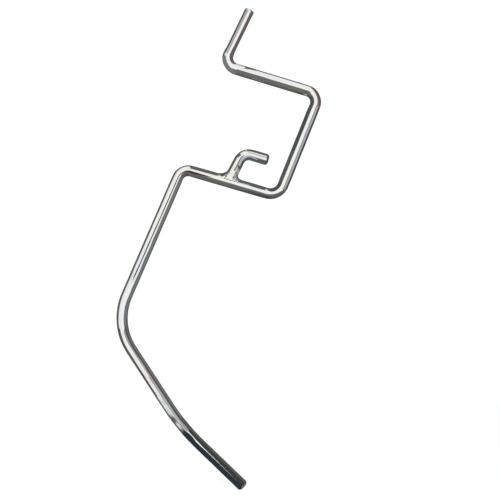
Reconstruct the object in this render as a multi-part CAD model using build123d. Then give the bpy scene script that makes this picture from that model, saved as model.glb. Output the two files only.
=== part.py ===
from build123d import *

import os
from math import cos, radians, sin, sqrt

# A bent-rod paint mixer for a drill. One round steel bar is bent cold into a shank, an offset
# crank and a stirring leg, and a short hook of the same bar is welded on the crank's lower arm.
#
# Millimetres. The mixer lies in the XZ plane. The origin is on the shank's axis, half way along
# the turned length that a chuck grips, and +Z runs up the shank towards the drill. A heading is
# an angle in degrees from straight down, positive towards +X.

# The bar and its two ends.
BAR_RADIUS = 4.0
SHANK_RADIUS = 3.4
SHANK_TOP = 16.5  # height of the shank's end face above the origin
SHANK_END_ROUND = 1.0
SHANK_TURNED = 32.0  # turned length, from the end face to the shoulder
SHOULDER = 1.5  # length of the cone between the turned length and the full bar
TIP_END_ROUND = 1.4

# Straight runs from the top down: length from corner to corner, and heading.
RUNS = [
    (43.0, 0.0),  # shank
    (70.5, 99.0),  # upper arm of the crank
    (77.0, 4.0),  # crank leg
    (70.5, -80.4),  # lower arm, back to the shank's axis
    (118.5, 2.5),  # drop leg
    (86.5, 59.0),  # stirring leg
    (60.0, 72.0),  # tip
]
BEND_RADII = [8.0, 8.0, 9.5, 8.0, 40.0, 155.0]  # centreline radius after each run but the last

# The hook. It stands on the lower arm and its free end points at the crank leg.
HOOK_ARM = 3  # index of the run that carries the hook
HOOK_STAND = 36.7  # along the arm's centreline, from its corner at the crank leg
HOOK_FOOT = 3.2  # height of the flat-cut foot above the arm's centreline
HOOK_STEM = 23.0  # length from the arm's centreline to the hook's corner
HOOK_STEM_HEADING = 178.5
HOOK_REACH = 18.5  # length from the hook's corner to its free end
HOOK_REACH_HEADING = 99.5
HOOK_BEND_RADIUS = 7.5
HOOK_END_ROUND = 1.6

# The weld round the hook's foot, measured from the arm's centreline and the stem's surface.
WELD_TOE_HEIGHT = 3.7
WELD_THROAT_HEIGHT = 9.0
WELD_TOE_DROP_SIDE = 6.4  # reach along the arm, towards the drop leg
WELD_TOE_CRANK_SIDE = 4.2  # reach along the arm, towards the crank leg
WELD_BITE = 0.15  # how far the throat sinks into the stem
WELD_SIDE_RADIUS = 4.9  # half width of the bulge at the arm's sides
WELD_SIDE_HEIGHT = 7.0  # half height of that bulge
WELD_SIDE_CENTRE = 3.0
WELD_FLANKS = [-2.2, -0.8, 0.8, 2.3]  # heights of the ovals that lie against the arm's flanks
WELD_SLOPES = [20, 28, 36, 45, 55, 68, 90]  # steepness of the hollow face at the ovals above them

os.makedirs("parts", exist_ok=True)


def direction(heading):
    """Unit vector of a heading."""
    return Vector(sin(radians(heading)), 0, -cos(radians(heading)))


def corners(start, runs):
    """Corner points of the straight runs laid end to end."""
    points = [start]
    for length, heading in runs:
        points.append(points[-1] + direction(heading) * length)
    return points


def bent_bar(points, radii):
    """Round bar along straight runs joined by tangent bends."""
    centreline = FilletPolyline(*points, radius=radii)
    cut = Plane(origin=points[0], z_dir=points[1] - points[0])
    return sweep(cut * Circle(BAR_RADIUS), path=centreline)


def round_end(bar, end, radius):
    """Round off the rim of the bar's cut end at a point."""
    rims = bar.edges().filter_by(GeomType.CIRCLE)
    rim = min(rims, key=lambda edge: (edge.arc_center - end).length)
    return fillet(rim, radius)


def turned_waste():
    """Ring of metal that is turned off the shank, with a cone at its shoulder."""
    shoulder = SHANK_TOP - SHANK_TURNED
    clear = 2 * BAR_RADIUS
    profile = Polyline(
        (SHANK_RADIUS, 0, SHANK_TOP + 1),
        (SHANK_RADIUS, 0, shoulder),
        (BAR_RADIUS, 0, shoulder - SHOULDER),
        (clear, 0, shoulder - SHOULDER),
        (clear, 0, SHANK_TOP + 1),
        close=True,
    )
    return revolve(make_face(profile), Axis.Z)


def make_rod(points):
    """The bent bar with its turned shank and its two rounded ends."""
    rod = bent_bar(points, BEND_RADII) - turned_waste()
    rod = round_end(rod, points[0], SHANK_END_ROUND)
    return round_end(rod, points[-1], TIP_END_ROUND)


def make_hook(stand, rod):
    """The hook, with its foot fitted to the lower arm."""
    stem = direction(HOOK_STEM_HEADING)
    corner = stand + stem * HOOK_STEM
    end = corner + direction(HOOK_REACH_HEADING) * HOOK_REACH
    hook = bent_bar([stand + stem * HOOK_FOOT, corner, end], [HOOK_BEND_RADIUS])
    return round_end(hook, end, HOOK_END_ROUND) - rod


def weld_levels():
    """Height of each oval of the weld, and its reach as a share of the toe's reach."""
    levels = [(height, 1.0) for height in WELD_FLANKS]
    rise = WELD_THROAT_HEIGHT - WELD_TOE_HEIGHT
    first = radians(WELD_SLOPES[0])
    for slope in WELD_SLOPES:
        climb = (cos(first) - cos(radians(slope))) / cos(first)
        share = (1 - sin(radians(slope))) / (1 - sin(first))
        levels.append((WELD_TOE_HEIGHT + rise * climb, share))
    return levels


def make_weld(stand, arm, rod, hook):
    """Fillet weld all round the hook's foot: ovals stacked from the arm's flanks up the stem.

    The arm's direction runs from the crank leg to the drop leg.
    """
    up = Vector(arm.Z, 0, -arm.X)
    stem = direction(HOOK_STEM_HEADING)
    lean = stem.dot(arm) / stem.dot(up)
    ovals = []
    for height, share in weld_levels():
        drop_side = BAR_RADIUS - WELD_BITE + share * WELD_TOE_DROP_SIDE
        crank_side = BAR_RADIUS - WELD_BITE + share * WELD_TOE_CRANK_SIDE
        centre = stand + up * height + arm * (lean * height + (drop_side - crank_side) / 2)
        side = WELD_SIDE_RADIUS * sqrt(1 - ((height - WELD_SIDE_CENTRE) / WELD_SIDE_HEIGHT) ** 2)
        level = Plane(origin=centre, x_dir=(0, 1, 0), z_dir=up)
        ovals.append(level * Ellipse(side, (drop_side + crank_side) / 2))
    return loft(ovals, ruled=True) - rod - hook


bar_corners = corners(Vector(0, 0, SHANK_TOP), RUNS)
arm_direction = direction(RUNS[HOOK_ARM][1])
hook_stand = bar_corners[HOOK_ARM] + arm_direction * HOOK_STAND

mixing_rod = make_rod(bar_corners)
hanging_hook = make_hook(hook_stand, mixing_rod)
weld_bead = make_weld(hook_stand, arm_direction, mixing_rod, hanging_hook)

export_step(mixing_rod, "parts/mixing_rod.step")
export_step(hanging_hook, "parts/hanging_hook.step")
export_step(weld_bead, "parts/weld_bead.step")
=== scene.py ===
from math import ceil, copysign, cos, exp, pi, radians, sin, sqrt, tan

import bpy
import numpy as np
from mathutils import Matrix, Vector


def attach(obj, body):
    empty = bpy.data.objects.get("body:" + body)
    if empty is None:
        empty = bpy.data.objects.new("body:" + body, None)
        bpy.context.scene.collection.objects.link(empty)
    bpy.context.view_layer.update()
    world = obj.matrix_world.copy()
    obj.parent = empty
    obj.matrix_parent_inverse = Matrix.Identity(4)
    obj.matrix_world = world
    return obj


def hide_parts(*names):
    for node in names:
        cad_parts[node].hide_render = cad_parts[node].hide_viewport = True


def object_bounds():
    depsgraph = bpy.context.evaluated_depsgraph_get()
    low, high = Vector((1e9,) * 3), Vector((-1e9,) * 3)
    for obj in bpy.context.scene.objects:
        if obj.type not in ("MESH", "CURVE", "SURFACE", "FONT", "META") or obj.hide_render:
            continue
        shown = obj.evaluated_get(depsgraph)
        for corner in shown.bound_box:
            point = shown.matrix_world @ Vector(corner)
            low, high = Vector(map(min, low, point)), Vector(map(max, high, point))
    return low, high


# Looks of a drill paint mixer: one bent, plated steel bar with a small hook welded on it.
#
# Metres, in the CAD frame. The bar lies in the XZ plane, and +Z runs up the shank. A heading is an
# angle in degrees from straight down, positive towards +X. Along a bar, "station" is the length
# of centreline from its first end, and "angle" goes round the bar: 0 is the side that a bend
# with growing heading turns towards, and 90 degrees is +Y, away from the camera.

MM = 0.001
MICRON = 0.001 * MM

# The bar, as the CAD source has it. Each run has a length from corner to corner and a heading.
BAR_RADIUS = 4.0 * MM
SHANK_RADIUS = 3.4 * MM
SHANK_TOP = 16.5 * MM
SHANK_END_ROUND = 1.0 * MM
SHANK_TURNED = 32.0 * MM
SHOULDER = 1.5 * MM
RUNS = {
    "shank": (43.0 * MM, 0.0),
    "upper_arm": (70.5 * MM, 99.0),
    "crank_leg": (77.0 * MM, 4.0),
    "lower_arm": (70.5 * MM, -80.4),
    "drop_leg": (118.5 * MM, 2.5),
    "stirring_leg": (86.5 * MM, 59.0),
    "tip": (60.0 * MM, 72.0),
}
BEND_RADII = [8.0 * MM, 8.0 * MM, 9.5 * MM, 8.0 * MM, 40.0 * MM, 155.0 * MM]

# The hook and its weld, as the CAD source has them.
HOOK_STAND = 36.7 * MM
HOOK_FOOT = 3.2 * MM
HOOK_STEM = 23.0 * MM
HOOK_STEM_HEADING = 178.5
HOOK_REACH = 18.5 * MM
HOOK_REACH_HEADING = 99.5
HOOK_BEND_RADIUS = 7.5 * MM
WELD_THROAT_HEIGHT = 9.0 * MM
WELD_TOE_DROP_SIDE = 6.4 * MM
WELD_TOE_CRANK_SIDE = 4.2 * MM

# What the photograph shows softer than the CAD has it.
SHOULDER_EASING = 3.4 * MM  # how far the shoulder blends into the bar on each side
TIP_END_ROUND = 2.0 * MM
HOOK_END_ROUND = 2.2 * MM

# What cold drawing and cold bending leave on a bar.
SKIN = 0.01 * MM  # how far the surface is set in, to make up for its highest waves in part
WAVE_COUNT = 40  # slow waves that are added up to make the surface uneven
TURNED_WAVES = 0.15  # share of the waves' height that is left on the turned shank
TURNED_FADE = 8.0 * MM  # length beyond the turned shank over which they grow to full height
BEND_FLATTENING = 0.03  # share of the radius
TIGHT_BEND = 9.0 * MM  # a wider bend flattens the bar less
FLATTENING_FADE = 2.0 * MM  # how far past a bend's ends the bar is still flattened
# Where the tip was pressed over a former: offset from the bend's middle, angle, length, spread
# in degrees and depth.
TIP_BEND_MARKS = [
    (-5.0 * MM, -122, 4.5 * MM, 26, 0.30 * MM),
    (1.5 * MM, -78, 3.2 * MM, 24, 0.26 * MM),
    (8.0 * MM, -112, 4.0 * MM, 26, 0.26 * MM),
    (14.0 * MM, -80, 4.0 * MM, 26, 0.16 * MM),
]

# The weld's face.
WELD_FRONT_THROAT = 6.4 * MM  # height that the weld reaches on the stem's near and far sides
WELD_FRONT_TOE = 74.0  # where it ends there, in degrees round the arm from its top
WELD_FRONT_CROWN = 0.28 * MM
WELD_BITE = 0.5 * MM  # how far its hidden edges sink into the bars
WELD_LIFT = 0.03 * MM  # how far its open edges stand on them
WELD_LUMP = 0.020 * MM  # height of each of its slow, random waves
WELD_LUMP_COUNT = 12
WELD_RIPPLE = 0.022 * MM  # height of its fine, even ripples
WELD_RIPPLE_COUNT = 34
WELD_MEAN_RADIUS = 1.3 * BAR_RADIUS
WELD_SLANT = 0.6  # how much its face looks along the arm and up, against out to the sides
# Pits and lumps of the weld: angle round the stem in degrees from the drop leg's side, share of
# the way from toe to throat, radius, and depth, which is negative for a lump.
WELD_MARKS = [
    (-36, 0.22, 0.80 * MM, 0.62 * MM),
    (-24, 0.52, 0.62 * MM, 0.50 * MM),
    (-56, 0.50, 0.52 * MM, 0.36 * MM),
    (-68, 0.20, 0.42 * MM, 0.22 * MM),
    (-44, 0.36, 0.90 * MM, -0.16 * MM),
    (-118, 0.62, 0.45 * MM, 0.22 * MM),
    (-12, 0.24, 0.80 * MM, -0.20 * MM),
    (-150, 0.30, 0.80 * MM, -0.14 * MM),
    (38, 0.40, 0.70 * MM, 0.30 * MM),
    (75, 0.50, 0.90 * MM, -0.16 * MM),
    (150, 0.45, 0.55 * MM, 0.22 * MM),
]

# How finely the meshes are made.
AROUND = 72
STRAIGHT_STEP = 1.0 * MM
BEND_STEP = 0.4 * MM
CLOSEST_RINGS = 0.01 * MM
END_ROUND_STEPS = 9
SHOULDER_STEPS = 16
CAP_RINGS = (0.96, 0.6, 0.25)  # sizes of the rings on an end face
WELD_AROUND = 200
WELD_STEPS = 36
ANGLES = np.arange(AROUND) * 2 * pi / AROUND

# How the picture is framed: the camera's roll, the point it looks at and the width it sees there.
ROLL = 25.88
LOOKED_AT = Vector((73.4 * MM, 0, -134.6 * MM))
FIELD = 350 * MM
CAMERA_DISTANCE = 0.8
SENSOR = 36.0

IMAGE_RIGHT = Vector((cos(radians(ROLL)), 0, sin(radians(ROLL))))
IMAGE_UP = Vector((-sin(radians(ROLL)), 0, cos(radians(ROLL))))
TOWARDS_CAMERA = Vector((0, -1, 0))

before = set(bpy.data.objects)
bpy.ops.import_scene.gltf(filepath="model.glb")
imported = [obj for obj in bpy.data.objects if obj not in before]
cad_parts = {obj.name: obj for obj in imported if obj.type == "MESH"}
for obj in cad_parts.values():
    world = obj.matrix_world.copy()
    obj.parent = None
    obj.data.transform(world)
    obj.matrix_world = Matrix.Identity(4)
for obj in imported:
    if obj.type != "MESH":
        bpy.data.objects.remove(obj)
cad_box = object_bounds()


# ---------------------------------------------------------------- centrelines


def direction(heading):
    """Unit vector of a heading in degrees."""
    return Vector((sin(radians(heading)), 0, -cos(radians(heading))))


def run_starts():
    """Corner point where each run of the bar starts."""
    starts = {}
    point = Vector((0, 0, SHANK_TOP))
    for name, (length, heading) in RUNS.items():
        starts[name] = point.copy()
        point += direction(heading) * length
    return starts


class Centreline:
    """Straight runs joined by tangent bends."""

    def __init__(self, start, runs, radii):
        self.pieces = []
        self.x = start.x
        self.z = start.z
        self.heading = radians(runs[0][1])
        self.length = 0.0
        turns = [radians(after[1] - before[1]) for before, after in zip(runs, runs[1:])]
        tangents = [radius * tan(abs(turn) / 2) for radius, turn in zip(radii, turns)]
        cuts = [0.0, *tangents, 0.0]
        for run, (length, _) in enumerate(runs):
            self.add(length - cuts[run] - cuts[run + 1], 0.0)
            if run < len(radii):
                self.add(radii[run] * abs(turns[run]), copysign(1 / radii[run], turns[run]))

    def add(self, length, curvature):
        """Add a straight piece, whose curvature is 0, or a bend."""
        self.pieces.append((self.length, self.x, self.z, self.heading, curvature))
        self.length += length
        x, z, heading = self.place(np.array([self.length]))
        self.x, self.z, self.heading = x[0], z[0], heading[0]

    def place(self, stations):
        """X, Z and heading in radians at each station."""
        starts = np.array([piece[0] for piece in self.pieces])
        found = np.clip(np.searchsorted(starts, stations, side="right") - 1, 0, None)
        start, x, z, first_heading, curvature = np.array(self.pieces)[found].T
        along = stations - start
        heading = first_heading + curvature * along
        middle = (first_heading + heading) / 2
        chord = along * np.sinc(curvature * along / 2 / pi)
        return x + chord * np.sin(middle), z - chord * np.cos(middle), heading

    def spans(self):
        """First station, last station and curvature of each piece."""
        starts = [piece[0] for piece in self.pieces]
        curvatures = [piece[4] for piece in self.pieces]
        return zip(starts, [*starts[1:], self.length], curvatures)

    def bends(self):
        """The spans that are bends."""
        return [span for span in self.spans() if span[2]]

    def stations(self):
        """Stations close enough together for a smooth mesh."""
        found = [0.0]
        for first, last, curvature in self.spans():
            step = BEND_STEP if curvature else STRAIGHT_STEP
            found.extend(np.linspace(first, last, ceil((last - first) / step) + 1)[1:])
        return np.array(found)


# ---------------------------------------------------------------- meshes


def mesh_object(name, points, faces):
    """Smooth-shaded mesh object."""
    mesh = bpy.data.meshes.new(name)
    mesh.from_pydata(points.tolist(), [], faces)
    mesh.update()
    mesh.shade_smooth()
    made = bpy.data.objects.new(name, mesh)
    bpy.context.scene.collection.objects.link(made)
    return made


def ring_faces(count, around):
    """Faces of a tube of rings whose last two points are the middles of its two ends."""
    faces = []
    for step in range(around):
        beside = (step + 1) % around
        for ring in range(count - 1):
            here = ring * around
            faces.append((here + step, here + beside, here + around + beside, here + around + step))
        final = (count - 1) * around
        faces.append((count * around, beside, step))
        faces.append((count * around + 1, final + step, final + beside))
    return faces


def closed_tube(name, rings, stored):
    """Closed mesh of rings. A point is X, Y and Z, and then a number or a vector for the material,
    which is stored on the mesh under the given name."""
    count, around, width = rings.shape
    ends = [rings[0].mean(axis=0), rings[-1].mean(axis=0)]
    points = np.concatenate([rings.reshape(-1, width), ends])
    made = mesh_object(name, points[:, :3], ring_faces(count, around))
    one_number = width == 4
    kind = "FLOAT" if one_number else "FLOAT_VECTOR"
    attribute = made.data.attributes.new(stored, kind, "POINT")
    values = points[:, 3:].astype(np.float32).ravel()
    attribute.data.foreach_set("value" if one_number else "vector", values)
    return made


def face_outwards(made):
    """Turn a closed mesh's faces outwards."""
    volume = sum(face.center.dot(face.normal) * face.area for face in made.data.polygons)
    if volume < 0:
        made.data.flip_normals()


def turned_from(angles, angle):
    """How far angles are from another one, from -pi to pi."""
    return (angles - angle + pi) % (2 * pi) - pi


# ---------------------------------------------------------------- the bars


def end_rounding(distance, radius):
    """How far a rounded rim lies inside the bar's surface, at a distance from the end face."""
    inside = np.clip(1 - distance / radius, 0, 1)
    return (radius * (1 - np.sqrt(1 - inside**2)))[:, None]


def end_stations(radius):
    """Distances from an end face that are even steps round its rim."""
    steps = np.linspace(0, pi / 2, END_ROUND_STEPS)
    return radius * (1 - np.cos(steps))


def merged(*groups):
    """Stations of all the groups in order, without those that nearly coincide."""
    stations = np.unique(np.concatenate(groups))
    kept = stations[np.append(True, np.diff(stations) > CLOSEST_RINGS)]
    kept[-1] = stations[-1]
    return kept


def unevenness(stations, seed):
    """Slow waves of a cold-drawn bar's surface, as a height in metres."""
    draw = np.random.default_rng(seed)
    total = np.zeros((len(stations), AROUND))
    for _ in range(WAVE_COUNT):
        lobes = draw.integers(1, 6)
        wavelength = draw.uniform(4, 28) * MM
        height = draw.uniform(0.5, 1.6) * MICRON * sqrt(wavelength / MM)
        around = np.cos(lobes * ANGLES + draw.uniform(0, 2 * pi))
        along = np.cos(2 * pi * stations / wavelength + draw.uniform(0, 2 * pi))
        total += height * along[:, None] * around[None, :]
    return total


def press_mark(stations, station, angle, length, spread, depth):
    """A shallow flat that a bending tool leaves: its depth in metres."""
    along = np.exp(-(((stations - station) / length) ** 2))
    around = np.exp(-((turned_from(ANGLES, radians(angle)) / radians(spread)) ** 2))
    return depth * along[:, None] * around[None, :]


def oval_in_bends(line, stations):
    """A cold bend flattens the bar: share of the radius that each side moves."""
    flattening = np.zeros(len(stations))
    for first, last, curvature in line.bends():
        middle = (first + last) / 2
        half = (last - first) / 2
        amount = BEND_FLATTENING * min(1, TIGHT_BEND * abs(curvature))
        flattening += amount * np.exp(-((np.abs(stations - middle) / (half + FLATTENING_FADE)) ** 4))
    return -flattening[:, None] * np.cos(2 * ANGLES)[None, :]


def bar_mesh(name, line, stations, radii):
    """Bar along a centreline, with flat end faces; radii has a row for each station. Its points
    keep their places on the bar before bending."""
    x, z, heading = line.place(stations)
    reach = radii * np.cos(ANGLES)
    sideways = radii * np.sin(ANGLES)
    rings = np.stack([
        x[:, None] + reach * np.cos(heading)[:, None],
        sideways,
        z[:, None] + reach * np.sin(heading)[:, None],
        reach,
        sideways,
        np.repeat(stations[:, None], AROUND, axis=1),
    ], axis=2)
    first = rings[0].mean(axis=0)
    last = rings[-1].mean(axis=0)
    first_face = [first + (rings[0] - first) * size for size in reversed(CAP_RINGS)]
    last_face = [last + (rings[-1] - last) * size for size in CAP_RINGS]
    return closed_tube(name, np.array([*first_face, *rings, *last_face]), "unbent")


def make_rod():
    """The bent bar, from its turned shank to its rounded tip."""
    line = Centreline(Vector((0, 0, SHANK_TOP)), list(RUNS.values()), BEND_RADII)
    eased_from = SHANK_TURNED - SHOULDER_EASING
    eased_to = SHANK_TURNED + SHOULDER + SHOULDER_EASING
    stations = merged(
        line.stations(),
        end_stations(SHANK_END_ROUND),
        line.length - end_stations(TIP_END_ROUND),
        np.linspace(eased_from, eased_to, SHOULDER_STEPS),
    )
    grown = np.clip((stations - eased_from) / (eased_to - eased_from), 0, 1)
    base = SHANK_RADIUS + (BAR_RADIUS - SHANK_RADIUS) * grown**2 * (3 - 2 * grown)
    radii = base[:, None] * (1 + oval_in_bends(line, stations))
    waves_left = np.interp(stations, [SHANK_TURNED, SHANK_TURNED + TURNED_FADE], [TURNED_WAVES, 1])
    radii += waves_left[:, None] * (unevenness(stations, seed=11) - SKIN)
    first, last, _ = line.bends()[-1]
    tip_bend = (first + last) / 2
    for offset, angle, length, spread, depth in TIP_BEND_MARKS:
        radii -= press_mark(stations, tip_bend + offset, angle, length, spread, depth)
    radii -= end_rounding(stations, SHANK_END_ROUND)
    radii -= end_rounding(line.length - stations, TIP_END_ROUND)
    return bar_mesh("mixing_rod_body", line, stations, radii)


def make_hook(stand):
    """The short hook, whose foot sinks into the lower arm."""
    foot = stand + direction(HOOK_STEM_HEADING) * HOOK_FOOT
    runs = [(HOOK_STEM - HOOK_FOOT, HOOK_STEM_HEADING), (HOOK_REACH, HOOK_REACH_HEADING)]
    line = Centreline(foot, runs, [HOOK_BEND_RADIUS])
    stations = merged(line.stations(), line.length - end_stations(HOOK_END_ROUND))
    radii = BAR_RADIUS * (1 + oval_in_bends(line, stations))
    radii += unevenness(stations, seed=23) - SKIN
    radii -= end_rounding(line.length - stations, HOOK_END_ROUND)
    return bar_mesh("hanging_hook_body", line, stations, radii)


# ---------------------------------------------------------------- the weld


def weld_line(angle, wander):
    """Toe, crotch and throat of the weld at an angle round the stem: the toe lies on the arm, the
    throat on the stem, and the crotch is where their surfaces meet. Each is (along, away, up)."""
    toe_reach = WELD_TOE_DROP_SIDE if cos(angle) > 0 else WELD_TOE_CRANK_SIDE
    toe_along = (BAR_RADIUS + toe_reach * wander) * cos(angle)
    toe_turn = radians(WELD_FRONT_TOE) * sin(angle)
    toe = Vector((toe_along, BAR_RADIUS * sin(toe_turn), BAR_RADIUS * cos(toe_turn)))
    crotch = Vector((cos(angle), sin(angle), abs(cos(angle)))) * BAR_RADIUS
    height = WELD_FRONT_THROAT + (WELD_THROAT_HEIGHT - WELD_FRONT_THROAT) * cos(angle) ** 2
    throat = Vector((BAR_RADIUS * cos(angle), BAR_RADIUS * sin(angle), height * wander))
    return toe, crotch, throat


def weld_swell(angle, level, waves):
    """How far the weld's face stands out from a plain hollow fillet. Level goes from 0 at the toe
    to 1 at the throat."""
    lump = sum(cos(lobes * angle + rate * level + phase) for lobes, rate, phase in waves)
    ripple = sin(WELD_RIPPLE_COUNT * angle + 2.5 * sin(pi * level))
    crown = WELD_FRONT_CROWN * sin(angle) ** 2
    inner = 4 * level * (1 - level)
    return inner * (WELD_LUMP * lump + WELD_RIPPLE * ripple + crown) + WELD_LIFT


def weld_dips(angle, level, span):
    """Depth that each mark of the weld has at a point of its face."""
    dips = []
    for mark_angle, mark_level, radius, depth in WELD_MARKS:
        around = turned_from(angle, radians(mark_angle)) * WELD_MEAN_RADIUS
        upward = (level - mark_level) * span
        dips.append(depth * exp(-(around**2 + upward**2) / radius**2))
    return dips


def make_weld(stand):
    """The fillet weld all round the hook's foot. Its edges wander a little, as hand-laid ones do,
    and its points keep the depth of the pits there, which the finish turns into painted shade."""
    draw = np.random.default_rng(5)
    waves = [(draw.integers(2, 10), draw.uniform(1, 5), draw.uniform(0, 2 * pi))
             for _ in range(WELD_LUMP_COUNT)]
    sunk = 1 - WELD_BITE / BAR_RADIUS
    rings = np.empty((WELD_STEPS + 2, WELD_AROUND, 4))
    for step in range(WELD_AROUND):
        angle = step * 2 * pi / WELD_AROUND
        wander = 1 + 0.035 * sin(3 * angle + 0.7) + 0.025 * sin(7 * angle + 2.1)
        toe, crotch, throat = weld_line(angle, wander)
        outward = Vector((WELD_SLANT * cos(angle), sin(angle), WELD_SLANT * abs(cos(angle))))
        outward.normalize()
        for row, level in enumerate(np.linspace(0, 1, WELD_STEPS), start=1):
            dips = weld_dips(angle, level, (throat - toe).length)
            point = toe * (1 - level) ** 2 + crotch * 2 * level * (1 - level) + throat * level**2
            point += outward * (weld_swell(angle, level, waves) - sum(dips))
            rings[row, step] = (*point, sum(dip for dip in dips if dip > 0))
        rings[0, step] = (toe.x, toe.y * sunk, toe.z * sunk, 0)
        rings[-1, step] = (throat.x * sunk, throat.y * sunk, throat.z, 0)

    arm = direction(RUNS["lower_arm"][1])
    up = Vector((arm.z, 0, -arm.x))
    stem = direction(HOOK_STEM_HEADING)
    height = rings[:, :, 2].copy()
    along = rings[:, :, 0] + height * stem.dot(arm) / stem.dot(up)
    rings[:, :, 0] = stand.x + arm.x * along + up.x * height
    rings[:, :, 2] = stand.z + arm.z * along + up.z * height
    return closed_tube("weld_bead_body", rings, "pit_depth_for_painted_shade")


# ---------------------------------------------------------------- shader nodes


def node(tree, kind, inputs=(), **settings):
    """Add a shader node. An input is a value, or another node's output to link."""
    made = tree.nodes.new("ShaderNode" + kind)
    for key, value in settings.items():
        setattr(made, key, value)
    for key, value in dict(inputs).items():
        if isinstance(value, bpy.types.NodeSocket):
            tree.links.new(value, made.inputs[key])
        else:
            made.inputs[key].default_value = value
    return made


def maths(tree, operation, *values):
    """Output of a Math node."""
    return node(tree, "Math", dict(enumerate(values)), operation=operation).outputs[0]


def product(tree, first, *others):
    """Product of values, by a chain of Math nodes."""
    for other in others:
        first = maths(tree, "MULTIPLY", first, other)
    return first


def rise(tree, value, start, end, low=0.0, high=1.0):
    """Smooth step from low at start to high at end."""
    inputs = {"Value": value, "From Min": start, "From Max": end, "To Min": low, "To Max": high}
    return node(tree, "MapRange", inputs, interpolation_type="SMOOTHSTEP").outputs[0]


def strip(tree, value, start, end, soft):
    """1 where a value is from start to end, and 0 outside, over soft edges."""
    return product(tree, rise(tree, value, start - soft, start + soft),
                   rise(tree, value, end + soft, end - soft))


def blend_colours(tree, share, first, second):
    """Mix of two colours."""
    made = node(tree, "Mix", {0: share}, data_type="RGBA")
    for key, value in ((6, first), (7, second)):
        if isinstance(value, bpy.types.NodeSocket):
            tree.links.new(value, made.inputs[key])
        else:
            made.inputs[key].default_value = (*value, 1)
    return made.outputs[2]


def stretched_noise(tree, coordinates, size, stretch=1.0, detail=3.0):
    """Noise whose features are a given size across the bar, and stretched along it."""
    squeezed = node(tree, "VectorMath", {0: coordinates, 1: (1, 1, 1 / stretch)},
                    operation="MULTIPLY").outputs[0]
    inputs = {"Vector": squeezed, "Scale": 1 / size, "Detail": detail, "Roughness": 0.55}
    return node(tree, "TexNoise", inputs).outputs[0]


def bump(tree, height, distance, under=None):
    """Normal of a surface with a small relief, on top of another one's if that is given."""
    inputs = {"Height": height, "Distance": distance, "Strength": 1.0}
    if under is not None:
        inputs["Normal"] = under
    return node(tree, "Bump", inputs).outputs[0]


def stored_on_mesh(tree, name, output):
    """What each point of the mesh stores under a name."""
    return node(tree, "Attribute", attribute_name=name, attribute_type="GEOMETRY").outputs[output]


# ---------------------------------------------------------------- materials


def new_material(name):
    """A material with an empty Principled shader, its tree and that shader."""
    material = bpy.data.materials.new(name)
    material.use_nodes = True
    return material, material.node_tree, material.node_tree.nodes["Principled BSDF"]


def plated_bar():
    """Bright plating over drawn steel: fine draw lines, a slight ripple and a faint tint."""
    material, tree, shader = new_material("plated_bar")
    unbent = stored_on_mesh(tree, "unbent", "Vector")
    station = node(tree, "SeparateXYZ", {0: unbent}).outputs[2]

    lines = stretched_noise(tree, unbent, 0.35 * MM, stretch=60)
    peel = stretched_noise(tree, unbent, 1.6 * MM, stretch=2.0)
    patches = stretched_noise(tree, unbent, 7 * MM, stretch=3.0, detail=2)
    tint = stretched_noise(tree, unbent, 12 * MM, stretch=4.0, detail=1)
    speck = stretched_noise(tree, unbent, 0.5 * MM, detail=1)

    cool = (0.800, 0.815, 0.845)
    warm = (0.850, 0.838, 0.800)
    colour = blend_colours(tree, rise(tree, tint, 0.38, 0.62), cool, warm)
    stain = rise(tree, patches, 0.55, 0.78, high=0.35)
    colour = blend_colours(tree, stain, colour, (0.66, 0.68, 0.69))
    pores = rise(tree, speck, 0.75, 0.80, high=0.7)
    colour = blend_colours(tree, pores, colour, (0.30, 0.30, 0.29))
    tree.links.new(colour, shader.inputs["Base Color"])
    shader.inputs["Metallic"].default_value = 1.0

    roughness = maths(tree, "ADD", rise(tree, lines, 0.3, 0.7, 0.06, 0.12),
                      rise(tree, patches, 0.5, 0.8, 0.0, 0.08))
    roughness = maths(tree, "ADD", roughness, product(tree, pores, 0.3))
    tree.links.new(roughness, shader.inputs["Roughness"])

    # The plating's ripple, its orange peel, is coarser on the upper arm.
    on_upper_arm = strip(tree, station, 50 * MM, 100 * MM, 6 * MM)
    peel = product(tree, peel, rise(tree, on_upper_arm, 0, 1, 1.0, 2.6))
    peel_bump = bump(tree, peel, 9 * MICRON)
    line_bump = bump(tree, lines, 3 * MICRON, under=peel_bump)
    on_shank = rise(tree, station, SHANK_TURNED + SHOULDER, SHANK_TURNED)
    grooves = maths(tree, "SINE", product(tree, station, 2 * pi / (0.42 * MM)))
    lathe_bump = bump(tree, product(tree, on_shank, grooves), 1.2 * MICRON, under=line_bump)
    tree.links.new(lathe_bump, shader.inputs["Normal"])
    return material


def plated_weld():
    """The same plating over weld metal: lumpier, duller, with painted shade darkening its pits."""
    material, tree, shader = new_material("plated_weld")
    place = node(tree, "TexCoord").outputs["Object"]
    grain = stretched_noise(tree, place, 0.45 * MM, detail=4)
    lumps = stretched_noise(tree, place, 1.8 * MM, detail=2)
    stains = stretched_noise(tree, place, 1.1 * MM, detail=3)
    # Depth of each pit, used below to paint shade into it.
    depth = stored_on_mesh(tree, "pit_depth_for_painted_shade", "Fac")

    colour = blend_colours(tree, rise(tree, stains, 0.54, 0.74), (0.84, 0.84, 0.83),
                           (0.60, 0.61, 0.59))
    colour = blend_colours(tree, rise(tree, grain, 0.66, 0.76, high=0.6), colour,
                           (0.22, 0.23, 0.22))
    # Painted shade: the colour goes nearly black where the pits are deepest.
    colour = blend_colours(tree, rise(tree, depth, 0.04 * MM, 0.15 * MM), colour,
                           (0.07, 0.08, 0.07))
    tree.links.new(colour, shader.inputs["Base Color"])
    shader.inputs["Metallic"].default_value = 1.0
    tree.links.new(rise(tree, grain, 0.35, 0.75, 0.16, 0.38), shader.inputs["Roughness"])

    lump_bump = bump(tree, lumps, 80 * MICRON)
    grain_bump = bump(tree, grain, 25 * MICRON, under=lump_bump)
    tree.links.new(grain_bump, shader.inputs["Normal"])
    return material


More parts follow.
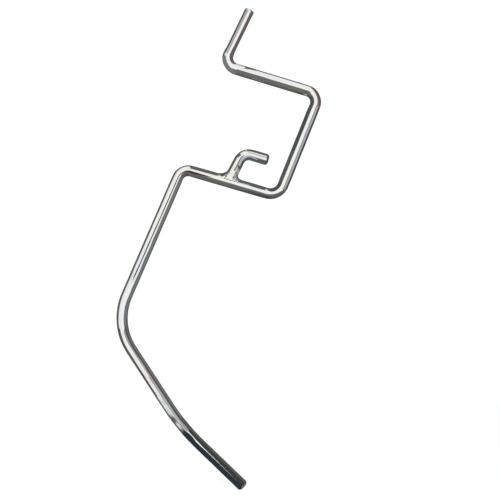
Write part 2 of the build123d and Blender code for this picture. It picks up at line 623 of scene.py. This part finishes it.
def glow(name, colour):
    """A plain panel that gives off one colour."""
    material, tree, shader = new_material(name)
    tree.nodes.remove(shader)
    light = node(tree, "Emission", {"Color": (*colour, 1), "Strength": 1.0})
    tree.links.new(light.outputs[0], tree.nodes["Material Output"].inputs[0])
    material.cycles.emission_sampling = "NONE"
    return material


# ---------------------------------------------------------------- the studio


def make_camera():
    """The camera, square on to the mixer's plane, and rolled so that the shank leans right."""
    data = bpy.data.cameras.new("camera")
    data.sensor_width = SENSOR
    data.lens = SENSOR * CAMERA_DISTANCE / FIELD
    data.clip_start = 0.01
    camera = bpy.data.objects.new("camera", data)
    axes = Matrix((IMAGE_RIGHT, IMAGE_UP, TOWARDS_CAMERA)).transposed()
    place = LOOKED_AT + TOWARDS_CAMERA * CAMERA_DISTANCE
    camera.matrix_world = Matrix.Translation(place) @ axes.to_4x4()
    bpy.context.scene.collection.objects.link(camera)
    bpy.context.scene.camera = camera


# Bars across the window: angle above the line to the camera, thickness in degrees, and shade.
GLAZING_BARS = [
    (37, 5, 0.62),
    (62, 4, 0.78),
]


def mirrored_room(tree, right, above, off):
    """Colour of what the plating mirrors in a direction: a big soft window above and to the left
    of the camera, a dim panel to its right, and a dark room round them.

    A direction's "off" is its angle in degrees from the line to the camera; "right" and "above"
    share that angle out between image right and image up.
    """
    def sloped(per_right, per_above, constant):
        total = maths(tree, "ADD", product(tree, right, per_right), product(tree, above, per_above))
        return maths(tree, "ADD", total, constant)

    def shaded(light, where, shade):
        return product(tree, light, rise(tree, where, 0, 1, 1.0, shade))

    # The window's lower edge is two lines that meet below the camera: one falls gently to the
    # right, and one steeply to the left. Its outer edge is round, and drawn out up and down.
    gentle_edge = sloped(0.34, 1.0, 15.0)
    steep_edge = sloped(-0.602, 0.799, 4.0)
    over_lower_edge = rise(tree, maths(tree, "MAXIMUM", gentle_edge, steep_edge), -7, 5)
    drawn_out = product(tree, 0.32, maths(tree, "ABSOLUTE", above))
    in_outer_edge = rise(tree, maths(tree, "SUBTRACT", off, drawn_out), 82, 54)
    window = product(tree, over_lower_edge, in_outer_edge, rise(tree, right, 47, 30))
    for height, thickness, shade in GLAZING_BARS:
        bar = strip(tree, above, height - thickness / 2, height + thickness / 2, 3)
        window = shaded(window, bar, shade)
    blind = strip(tree, right, -48, -26, 6)
    window = shaded(window, blind, 0.92)
    panel = product(tree, strip(tree, right, 62, 100, 6), strip(tree, above, -60, 70, 10))

    room = blend_colours(tree, rise(tree, off, 15, 110), (0.165, 0.168, 0.155),
                         (0.088, 0.098, 0.096))
    room = blend_colours(tree, product(tree, panel, 0.12), room, (0.9, 0.95, 1.0))
    tone = blend_colours(tree, rise(tree, above, 0, 45), (0.99, 0.985, 0.97), (1.0, 0.985, 0.925))
    return blend_colours(tree, window, room, tone)


def make_world():
    """A white room for the camera and the floor, and another one that only the plating mirrors."""
    world = bpy.data.worlds.new("studio")
    bpy.context.scene.world = world
    world.use_nodes = True
    tree = world.node_tree
    tree.nodes.clear()
    ray = node(tree, "TexCoord").outputs["Generated"]

    def towards(axis):
        return node(tree, "VectorMath", {0: ray, 1: tuple(axis)},
                    operation="DOT_PRODUCT").outputs["Value"]

    facing = maths(tree, "MINIMUM", maths(tree, "MAXIMUM", towards(TOWARDS_CAMERA), -1.0), 1.0)
    off = product(tree, maths(tree, "ARCCOSINE", facing), 180 / pi)
    sine = maths(tree, "SINE", product(tree, off, pi / 180))
    scale = maths(tree, "DIVIDE", off, maths(tree, "MAXIMUM", sine, 0.001))
    right = product(tree, towards(IMAGE_RIGHT), scale)
    above = product(tree, towards(IMAGE_UP), scale)

    seen = mirrored_room(tree, right, above, off)
    mirrored = node(tree, "Background", {"Color": seen, "Strength": 1.08})
    white = node(tree, "Background", {"Color": (1, 1, 1, 1), "Strength": 1.1})
    glossy = node(tree, "LightPath").outputs["Is Glossy Ray"]
    both = node(tree, "MixShader", {0: glossy, 1: white.outputs[0], 2: mirrored.outputs[0]})
    tree.nodes.active = node(tree, "OutputWorld", {0: both.outputs[0]})


# Lines that cards hang beside: a point and a heading. The line of a bend lies across its corner,
# about half way between the headings of its two runs; the first bend's points backwards, so that
# angle 0 is its outer side too.
BEND_LINE_HEADING = 51
starts = run_starts()
hook_stand = starts["lower_arm"] + direction(RUNS["lower_arm"][1]) * HOOK_STAND
hook_corner = hook_stand + direction(HOOK_STEM_HEADING) * HOOK_STEM
hook_end = hook_corner + direction(HOOK_REACH_HEADING) * HOOK_REACH
LINES = {name: (starts[name], heading) for name, (_, heading) in RUNS.items()} | {
    "bend_1": (starts["upper_arm"], BEND_LINE_HEADING + 180),
    "bend_2": (starts["crank_leg"], BEND_LINE_HEADING),
    "hook_stem": (hook_stand, HOOK_STEM_HEADING),
    "hook_reach": (hook_corner, HOOK_REACH_HEADING),
    "hook_end": (hook_end, HOOK_REACH_HEADING - 90),
}

# Cards near the bar, which only its reflections see. First come the card's line and name. Then
# come where it starts and ends along that line in millimetres, the angles that it spans at its
# start and at its end, its distance from the line in millimetres, and its colour. An angle is in
# degrees off the camera's side, positive towards the side of the bar's angle 0.
CARDS = [
    ("shank", "right", -4, 32, (46, 118), (46, 118), 14, (0.150, 0.105, 0.128)),
    ("shank", "blind", -4, 32, (-58, -16), (-58, -16), 14, (0.50, 0.47, 0.50)),
    ("shank", "left", -4, 32, (-140, -64), (-140, -64), 14, (0.100, 0.100, 0.095)),
    ("bend_1", "outside", -28, 20, (24, 130), (18, 130), 13, (0.22, 0.23, 0.21)),
    ("upper_arm", "below", 10, 63, (-70, -1), (-70, -1), 11, (0.175, 0.175, 0.155)),
    ("upper_arm", "above", 8, 62, (114, 150), (114, 150), 11, (0.09, 0.09, 0.095)),
    ("bend_2", "outside", -20, 18, (66, 135), (66, 135), 13, (0.16, 0.055, 0.065)),
    ("crank_leg", "left", 4, 70, (-120, -32), (-120, -32), 11, (0.075, 0.085, 0.090)),
    ("crank_leg", "line", 4, 74, (24, 44), (24, 44), 40, (0.29, 0.31, 0.34)),
    ("crank_leg", "right", 4, 74, (44, 76), (44, 76), 40, (0.50, 0.50, 0.58)),
    ("crank_leg", "edge", 4, 74, (76, 125), (76, 125), 40, (0.070, 0.074, 0.076)),
    ("lower_arm", "above", 46, 70, (-140, -52), (-140, -42), 30, (0.12, 0.12, 0.115)),
    ("hook_stem", "left", 7, 26, (58, 135), (58, 135), 12, (0.11, 0.115, 0.115)),
    ("hook_stem", "line", 9, 22, (-12, 3), (-12, 3), 12, (0.10, 0.11, 0.13)),
    ("hook_stem", "right", 9, 19, (-60, -12), (-60, -12), 13, (0.52, 0.56, 0.61)),
    ("hook_reach", "above", -2, 22, (60, 135), (60, 135), 12, (0.115, 0.12, 0.12)),
    ("hook_reach", "line", 2, 22, (23, 35), (23, 35), 12, (0.22, 0.24, 0.26)),
    ("hook_reach", "light", 2, 22, (-21, 12), (-21, 12), 13, (1.0, 0.97, 0.99)),
    ("hook_reach", "below", 2, 22, (-120, -26), (-120, -26), 13, (0.11, 0.125, 0.125)),
    ("hook_end", "beyond", -12, 12, (38, 130), (38, 130), 9, (0.10, 0.11, 0.11)),
    ("drop_leg", "line", -2, 88, (2, 20), (-17, 6), 60, (0.05, 0.035, 0.06)),
    ("stirring_leg", "left", -8, 60, (-140, -50), (-140, -68), 30, (0.10, 0.11, 0.105)),
    ("stirring_leg", "near", 9, 90, (12, 40), (8, 38), 14, (0.42, 0.38, 0.38)),
    ("stirring_leg", "far", 9, 90, (40, 76), (38, 76), 14, (0.095, 0.090, 0.085)),
    ("stirring_leg", "bright", 44, 80, (8, 12), (4, 50), 13, (0.50, 0.52, 0.55)),
    ("stirring_leg", "low", 44, 82, (-6, -2), (-110, -2), 24, (0.145, 0.175, 0.175)),
    ("tip", "below", 3, 80, (-150, -4), (-150, -2), 26, (0.028, 0.038, 0.050)),
    ("tip", "above", 0, 80, (24, 72), (-8, 72), 26, (0.045, 0.045, 0.042)),
    ("tip", "far", 0, 80, (72, 120), (72, 120), 26, (0.100, 0.100, 0.094)),
]


def back_cards():
    """A bright card behind each run. The camera's side of the bar hardly mirrors it."""
    return [
        (name, "behind", -5, length / MM + 5, (150, 210), (150, 210), 10, (0.9, 0.9, 0.88))
        for name, (length, _) in RUNS.items()
    ]


def make_cards():
    """Hang the cards, unseen by the camera."""
    for line, name, start, end, at_start, at_end, distance, colour in CARDS + back_cards():
        origin, heading = LINES[line]
        side = Vector((cos(radians(heading)), 0, sin(radians(heading))))
        middle = radians(sum(at_start) / 2)
        facing = side * sin(middle) + TOWARDS_CAMERA * cos(middle)
        across = side * cos(middle) - TOWARDS_CAMERA * sin(middle)
        points = []
        for reach, edges in ((start, at_start), (end, at_end)):
            centre = origin + direction(heading) * reach * MM + facing * distance * MM
            for edge in edges:
                points.append(centre + across * distance * MM * tan(radians(edge) - middle))
        card = mesh_object(f"card_{line}_{name}", np.array(points), [(0, 1, 3, 2)])
        card.data.materials.append(glow(card.name, colour))
        card.visible_camera = False
        card.visible_diffuse = False
        card.visible_shadow = False
        card.visible_transmission = False


def make_floor():
    """A pale floor at the mixer's lowest point."""
    half = 6.0
    height = cad_box[0].z
    corners = [(-half, -half), (half, -half), (half, half), (-half, half)]
    points = np.array([(x, y, height) for x, y in corners])
    floor = mesh_object("floor", points, [(0, 1, 2, 3)])
    material, _, shader = new_material("floor")
    shader.inputs["Base Color"].default_value = (0.93, 0.93, 0.93, 1)
    shader.inputs["Roughness"].default_value = 1.0
    shader.inputs["Specular IOR Level"].default_value = 0.0
    floor.data.materials.append(material)
    floor.visible_glossy = False


# ---------------------------------------------------------------- the scene


bpy.context.scene.view_settings.view_transform = "Standard"
make_camera()
make_world()
make_floor()
make_cards()

bar_finish = plated_bar()
weld_finish = plated_weld()
PIECES = [
    (make_rod(), "mixing_rod", "plated_bar", bar_finish),
    (make_hook(hook_stand), "hanging_hook", "plated_bar", bar_finish),
    (make_weld(hook_stand), "weld_bead", "plated_weld", weld_finish),
]
for piece, cad_node, slot, finish in PIECES:
    face_outwards(piece)
    piece.data.materials.append(finish)
    piece.visible_diffuse = False  # no shadow falls on the floor
    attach(piece, "root")
    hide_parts(cad_node)
